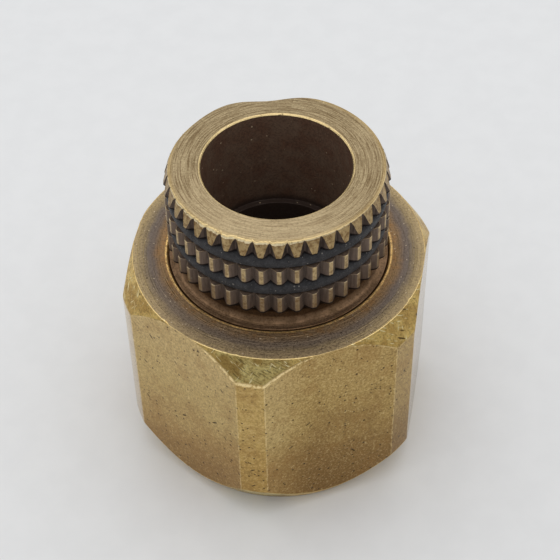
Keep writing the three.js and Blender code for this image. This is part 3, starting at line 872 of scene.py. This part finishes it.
def spigot():
    angles = tooth_angles()
    fall = down_the_flank(angles)[0]
    rise = np.clip(fall / 0.15, 0, 1)
    flank = rise * rise * (3 - 2 * rise)
    # Painted highlight: a thin bright line along both edges of every land.
    land_edge_highlight = 0.5 * np.exp(-((fall - 0.06) / 0.05) ** 2)
    # Dirt and painted shade down the flanks, darkest deep in the gaps.
    gap_dirt_and_shade = flank * (0.42 + 0.42 * fall)
    upper, middle, lower = (tooth_radius(angles, seed) for seed in (5, 6, 7))
    to_front = hill(angles, -0.25, 0.75)
    burr = (0.03 + 0.05 * to_front) * round_noise(angles, 320, 8)
    burr = burr + (0.03 + 0.1 * to_front) * round_noise(angles, 90, 9)
    rear_dent = sum(depth * hill(angles, bearing, width) for depth, bearing, width in REAR_DENTS)
    cone_end = UPPER_BAND[0] + 0.14
    widest = TOP_FACE_RADIUS + (TOP_Z - cone_end) / CONE_SLOPE
    upper = np.minimum(upper, widest) - rear_dent * 0.8
    uneven = 0.55 + 0.3 * round_noise(angles, 70, 12) + 0.15 * round_noise(angles, 260, 14)
    lip = 0.05 + 0.28 * to_front * uneven
    lip_wear = 0.65 + 1.0 * hill(angles, -0.15, 0.35)
    notched = np.minimum(upper + 0.8 * rear_dent, TOP_FACE_RADIUS + burr)
    whole = 0.02 + 0.98 * np.clip(1.6 * to_front, 0, 1)
    face_edge = (TOP_FACE_RADIUS - 0.05) * (1 - whole) + notched * whole - rear_dent
    cone_z = TOP_Z - np.maximum(upper - TOP_FACE_RADIUS + rear_dent, 0) * CONE_SLOPE
    cone_z = np.clip(cone_z, cone_end, TOP_Z - lip - 0.05)
    ragged = 0.04 * round_noise(angles, 230, 11)
    rows = Rows()
    sweep(rows, angles, [
        Corner(BORE_RADIUS, TOP_Z - 1.2, zone=BORE, cuts=2),
        Corner(BORE_RADIUS, TOP_Z - MOUTH_CHAMFER, 0.03, cuts=2, worn=0.9, zone=END_FACE),
        Corner(MOUTH_RADIUS, TOP_Z, 0.06, 0.9, cuts=14, zone=END_FACE),
        Corner(face_edge - lip * 0.8, TOP_Z, 0.06, 0.5, cuts=2, worn=lip_wear, zone=END_FACE),
        Corner(face_edge, TOP_Z - lip, 0.06 + 0.09 * to_front, 0.8 + 1.6 * to_front, cuts=4, zone=KNURL),
        # Upper band's cone faces: flanks darkened by dirt and painted shade, with a painted highlight along
        # the land edges.
        Corner(upper, cone_z, 0.03, cuts=5, dirt_and_shade=flank * 0.78, worn=0.4 * land_edge_highlight, zone=KNURL),
        # Painted black shadow under the upper teeth, and painted black shade on the groove floor behind the
        # ring.
        Corner(upper, UPPER_BAND[0] + UNDERCUT + ragged, cuts=1, dirt_and_shade=1.0, zone=KNURL),
        Corner(upper, UPPER_BAND[0] + ragged, 0.1, 0.0, cuts=3, dirt_and_shade=1.0, zone=KNURL),
        Corner(GROOVE_RADIUS, UPPER_BAND[0], 0.05, cuts=3, dirt_and_shade=1.0, zone=KNURL),
        Corner(GROOVE_RADIUS, MIDDLE_BAND[1], 0.05, cuts=3, zone=LEDGE),
        # Middle band: painted highlights along the lands' top and side edges, flanks darkened by dirt and
        # painted shade.
        Corner(middle, MIDDLE_BAND[1], 0.06, 0.6 * (1 - flank), cuts=7,
               dirt_and_shade=gap_dirt_and_shade, worn=0.6 * land_edge_highlight, zone=KNURL),
        # Painted black shadow under the middle teeth, and painted black shade on the groove floor behind
        # the ring.
        Corner(middle, MIDDLE_BAND[0] + UNDERCUT + ragged, cuts=1, dirt_and_shade=1.0, zone=KNURL),
        Corner(middle, MIDDLE_BAND[0] + ragged, 0.1, 0.0, cuts=3, dirt_and_shade=1.0, zone=KNURL),
        Corner(GROOVE_RADIUS, MIDDLE_BAND[0], 0.05, cuts=3, dirt_and_shade=1.0, zone=KNURL),
        Corner(GROOVE_RADIUS, LOWER_BAND[1], 0.05, cuts=3, zone=LEDGE),
        # Lower band: painted highlights along the lands' top and side edges, flanks darkened by dirt and
        # painted shade.
        Corner(lower, LOWER_BAND[1], 0.06, 0.5 * (1 - flank), cuts=7,
               dirt_and_shade=gap_dirt_and_shade, worn=0.4 * land_edge_highlight, zone=KNURL),
        # Painted black shadow under the lower teeth and down the neck below them.
        Corner(lower, LOWER_BAND[0] + UNDERCUT + ragged, cuts=1, dirt_and_shade=1.0, zone=KNURL),
        Corner(lower, LOWER_BAND[0] + ragged, 0.12, 0.0, cuts=3, dirt_and_shade=1.0, zone=KNURL),
        Corner(NECK_RADIUS, LOWER_BAND[0] - 0.1, 0.1, cuts=3, dirt_and_shade=1.0, zone=COLLAR),
        Corner(NECK_RADIUS, COLLAR_TOP + 1.25, cuts=1, dirt_and_shade=0.8, zone=COLLAR),
    ])
    inside = angles[::FINE_SPIGOT // COARSE_SPIGOT]
    groove = []
    for z in (SEAL_HEIGHTS["upper_swivel_seal"], SEAL_HEIGHTS["lower_swivel_seal"]):
        groove.append(Corner(STEM_RADIUS, z + SEAL_GROOVE_HALF, 0.1, zone=COLLAR, cuts=3))
        groove.append(Corner(SEAL_GROOVE_RADIUS, z + SEAL_GROOVE_HALF, 0.1, zone=COLLAR, cuts=3))
        groove.append(Corner(SEAL_GROOVE_RADIUS, z - SEAL_GROOVE_HALF, 0.1, zone=COLLAR, cuts=3))
        groove.append(Corner(STEM_RADIUS, z - SEAL_GROOVE_HALF, 0.1, zone=COLLAR, cuts=3))
    sweep(rows, inside, [
        # Painted shade on the neck under the teeth, fading out across the collar's top, and on the collar's
        # side in the seam's gap.
        Corner(NECK_RADIUS, COLLAR_TOP + 1.1, cuts=3, dirt_and_shade=0.6, zone=COLLAR),
        Corner(NECK_RADIUS + 0.08, COLLAR_TOP + 0.5, 0.25, cuts=3, dirt_and_shade=0.3, zone=COLLAR),
        Corner(NECK_RADIUS + 0.5, COLLAR_TOP + 0.06, 0.3, cuts=6, zone=COLLAR),
        Corner(COLLAR_RADIUS, COLLAR_TOP, 0.05, cuts=4, dirt_and_shade=0.3, zone=COLLAR),
        Corner(COLLAR_RADIUS, COLLAR_BOTTOM, 0.2, cuts=4, zone=COLLAR),
        Corner(STEM_RADIUS, COLLAR_BOTTOM, 0.1, cuts=3, zone=COLLAR),
        *groove,
        Corner(STEM_RADIUS, STEM_STEP_Z, 0.1, cuts=2, zone=COLLAR),
        Corner(STEM_END_RADIUS, STEM_STEP_Z, 0.1, cuts=3, zone=COLLAR),
        Corner(STEM_END_RADIUS, WIRE_Z + WIRE_GROOVE_HALF, 0.05, cuts=1, zone=COLLAR),
        Corner(WIRE_GROOVE_RADIUS, WIRE_Z, 0.4, cuts=1, zone=COLLAR),
        Corner(STEM_END_RADIUS, WIRE_Z - WIRE_GROOVE_HALF, 0.05, cuts=2, zone=COLLAR),
        Corner(STEM_END_RADIUS, STEM_END_Z, 0.25, 0.5, cuts=4, zone=COLLAR),
        Corner(STEM_BORE_RADIUS, STEM_END_Z, 0.15, 0.3, cuts=10, zone=BORE),
        Corner(STEM_BORE_RADIUS, BORE_STEP_Z, 0.05, 0.0, cuts=2, zone=BORE),
        Corner(BORE_RADIUS, BORE_STEP_Z, 0.05, cuts=12, zone=BORE),
        Corner(BORE_RADIUS, TOP_Z - 1.5, zone=BORE),
    ])
    collar = brown_brass("collar_brass", linear(150, 120, 92), linear(126, 100, 75))
    materials = [turned_face(), knurl_brass(), collar, bore_oxide(), packed_dirt()]
    return make_piece("spigot_knurled", rows, "spigot", "spigot", materials)


# ---- Rings, seals and washers ------------------------------------------------------------------

def ring_piece(name, node, body, material, ring_radius, z, section, columns=320, squareness=1.0):
    """A rubber ring. squareness 1 is a round section, and less is one pressed square."""
    angles = np.arange(columns) / columns * TURN
    rows = Rows()
    for turn in np.arange(28) / 28 * TURN:
        swell = section + 0.012 * (round_noise(angles, 60, 21) - 1)
        out = math.copysign(abs(math.cos(turn)) ** squareness, math.cos(turn))
        up = math.copysign(abs(math.sin(turn)) ** squareness, math.sin(turn))
        section_place = [ring_radius + swell * out, z + swell * up]
        rows.add(angles, np.stack(section_place, 1), 0, 0, 0)
    return make_piece(name, rows, body, node, [material])


def washer_piece(name, node, body, material):
    """A flat washer the size of its CAD node, with softened rims."""
    low, high = box_mm(node)
    outer = high.x
    inner = WASHER_HOLES[node]
    angles = np.arange(192) / 192 * TURN
    rows = Rows()
    sweep(rows, angles, [
        Corner(inner, (low.z + high.z) / 2, cuts=1),
        Corner(inner, low.z, 0.08, cuts=3),
        Corner(outer, low.z, 0.08, cuts=2),
        Corner(outer, high.z, 0.08, cuts=3),
        Corner(inner, high.z, 0.08, cuts=1),
        Corner(inner, high.z * 0.4 + low.z * 0.6 + 0.1),
    ])
    return make_piece(name, rows, body, node, [material])


def open_wire_ring(name, node, body, material):
    """The retaining ring: round wire bent to an open ring, its ends rounded."""
    sides = 20
    steps = 160
    points = []
    faces = []
    for i in range(steps + 1):
        share = i / steps
        angle = math.pi + WIRE_GAP / 2 + share * (TURN - WIRE_GAP)
        from_end = min(share, 1 - share) * (TURN - WIRE_GAP) * WIRE_RING_RADIUS
        into_end = max(0.0, 1 - from_end / (0.6 * WIRE_RADIUS))
        thick = WIRE_RADIUS * math.sqrt(max(0.02, 1 - into_end ** 2))
        for k in range(sides):
            turn = k / sides * TURN
            radius = WIRE_RING_RADIUS + thick * math.cos(turn)
            height = WIRE_Z + thick * math.sin(turn)
            points.append((radius * math.sin(angle), -radius * math.cos(angle), height))
            if i < steps:
                m = (k + 1) % sides
                faces.append((i * sides + k, i * sides + m, (i + 1) * sides + m, (i + 1) * sides + k))
    faces.append(tuple(range(sides))[::-1])
    faces.append(tuple(range(steps * sides, (steps + 1) * sides)))
    mesh = bpy.data.meshes.new(name)
    mesh.from_pydata([tuple(c * MM for c in p) for p in points], [], faces)
    mesh.materials.append(material)
    mesh.shade_smooth()
    mesh.validate()
    piece = bpy.data.objects.new(name, mesh)
    bpy.context.scene.collection.objects.link(piece)
    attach(piece, body)
    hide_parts(node)
    return piece


def small_pieces():
    neck_rubber = rubber("neck_rubber", linear(47, 46, 48), linear(34, 33, 35))
    for node, below, above in (
        ("upper_neck_ring", MIDDLE_BAND[1], UPPER_BAND[0]),
        ("lower_neck_ring", LOWER_BAND[1], MIDDLE_BAND[0]),
    ):
        middle = (below + above) / 2
        ring_piece(node + "_moulded", node, "spigot", neck_rubber,
                   NECK_RING_RADIUS, middle, NECK_RING_SECTION, squareness=NECK_RING_SQUARENESS)
    seal_rubber = rubber("seal_rubber", linear(40, 40, 42), linear(28, 28, 30))
    for node, z in SEAL_HEIGHTS.items():
        ring_piece(node + "_moulded", node, "spigot", seal_rubber,
                   SEAL_RING_RADIUS, z, SEAL_SECTION, columns=160)
    plastic = white_plastic()
    for node in WASHER_HOLES:
        washer_piece(node + "_cut", node, "body", plastic)
    open_wire_ring("retaining_ring_bent", "retaining_ring", "spigot", spring_wire())


# ---- Floor, light and camera -------------------------------------------------------------------

CAMERA_AZIMUTH = math.radians(10.86)
CAMERA_ELEVATION = math.radians(46.89)
CAMERA_DISTANCE = 143.66
CAMERA_ROLL = math.radians(1.28)
LENS = 97.5
TARGET_HEIGHT = 17.39
TARGET_SIDE = 0.066


def make_camera():
    data = bpy.data.cameras.new("camera")
    data.sensor_width = 36
    data.lens = LENS
    data.clip_start = 0.005
    data.clip_end = 20
    camera = bpy.data.objects.new("camera", data)
    bpy.context.scene.collection.objects.link(camera)
    back = Vector((math.sin(CAMERA_AZIMUTH) * math.cos(CAMERA_ELEVATION),
                   -math.cos(CAMERA_AZIMUTH) * math.cos(CAMERA_ELEVATION),
                   math.sin(CAMERA_ELEVATION)))
    level_right = Vector((math.cos(CAMERA_AZIMUTH), math.sin(CAMERA_AZIMUTH), 0))
    level_up = back.cross(level_right)
    right = level_right * math.cos(CAMERA_ROLL) - level_up * math.sin(CAMERA_ROLL)
    up = level_right * math.sin(CAMERA_ROLL) + level_up * math.cos(CAMERA_ROLL)
    target = level_right * TARGET_SIDE * MM + Vector((0, 0, TARGET_HEIGHT * MM))
    place = target + back * CAMERA_DISTANCE * MM
    turn = Matrix((right, up, back)).transposed().to_4x4()
    camera.matrix_world = Matrix.Translation(place) @ turn
    bpy.context.scene.camera = camera


def make_floor():
    mesh = bpy.data.meshes.new("floor")
    half = 1.5
    corners = [(-half, -half, 0), (half, -half, 0), (half, half, 0), (-half, half, 0)]
    mesh.from_pydata(corners, [], [(0, 1, 2, 3)])
    s = Shader("floor_white", metallic=0.0, specular=0.3)
    tone = s.mix(s.remap(s.noise(s.place, 0.3, 3), 0.3, 0.7), (0.80, 0.81, 0.82), (0.78, 0.79, 0.80))
    mesh.materials.append(s.paint(tone, 0.6))
    floor = bpy.data.objects.new("floor", mesh)
    bpy.context.scene.collection.objects.link(floor)


def area_light(name, place, size, power):
    """A soft square light at a place in metres, aimed at the coupling."""
    data = bpy.data.lights.new(name, "AREA")
    data.size = size
    data.energy = power
    light = bpy.data.objects.new(name, data)
    light.location = place
    light.rotation_mode = "QUATERNION"
    light.rotation_quaternion = (Vector(place) - Vector((0, 0, 0.015))).to_track_quat("Z", "Y")
    bpy.context.scene.collection.objects.link(light)


def make_light():
    world = bpy.data.worlds.new("studio")
    bpy.context.scene.world = world
    world.use_nodes = True
    background = world.node_tree.nodes["Background"]
    background.inputs["Color"].default_value = (1, 1, 1, 1)
    background.inputs["Strength"].default_value = 0.33
    area_light("overhead", place=(-0.03, 0.05, 0.5), size=1.4, power=5.5)
    bpy.context.scene.view_settings.view_transform = "Standard"


# ---- Scene -------------------------------------------------------------------------------------

make_camera()
make_floor()
make_light()
hex_body()
spigot()
small_pieces()
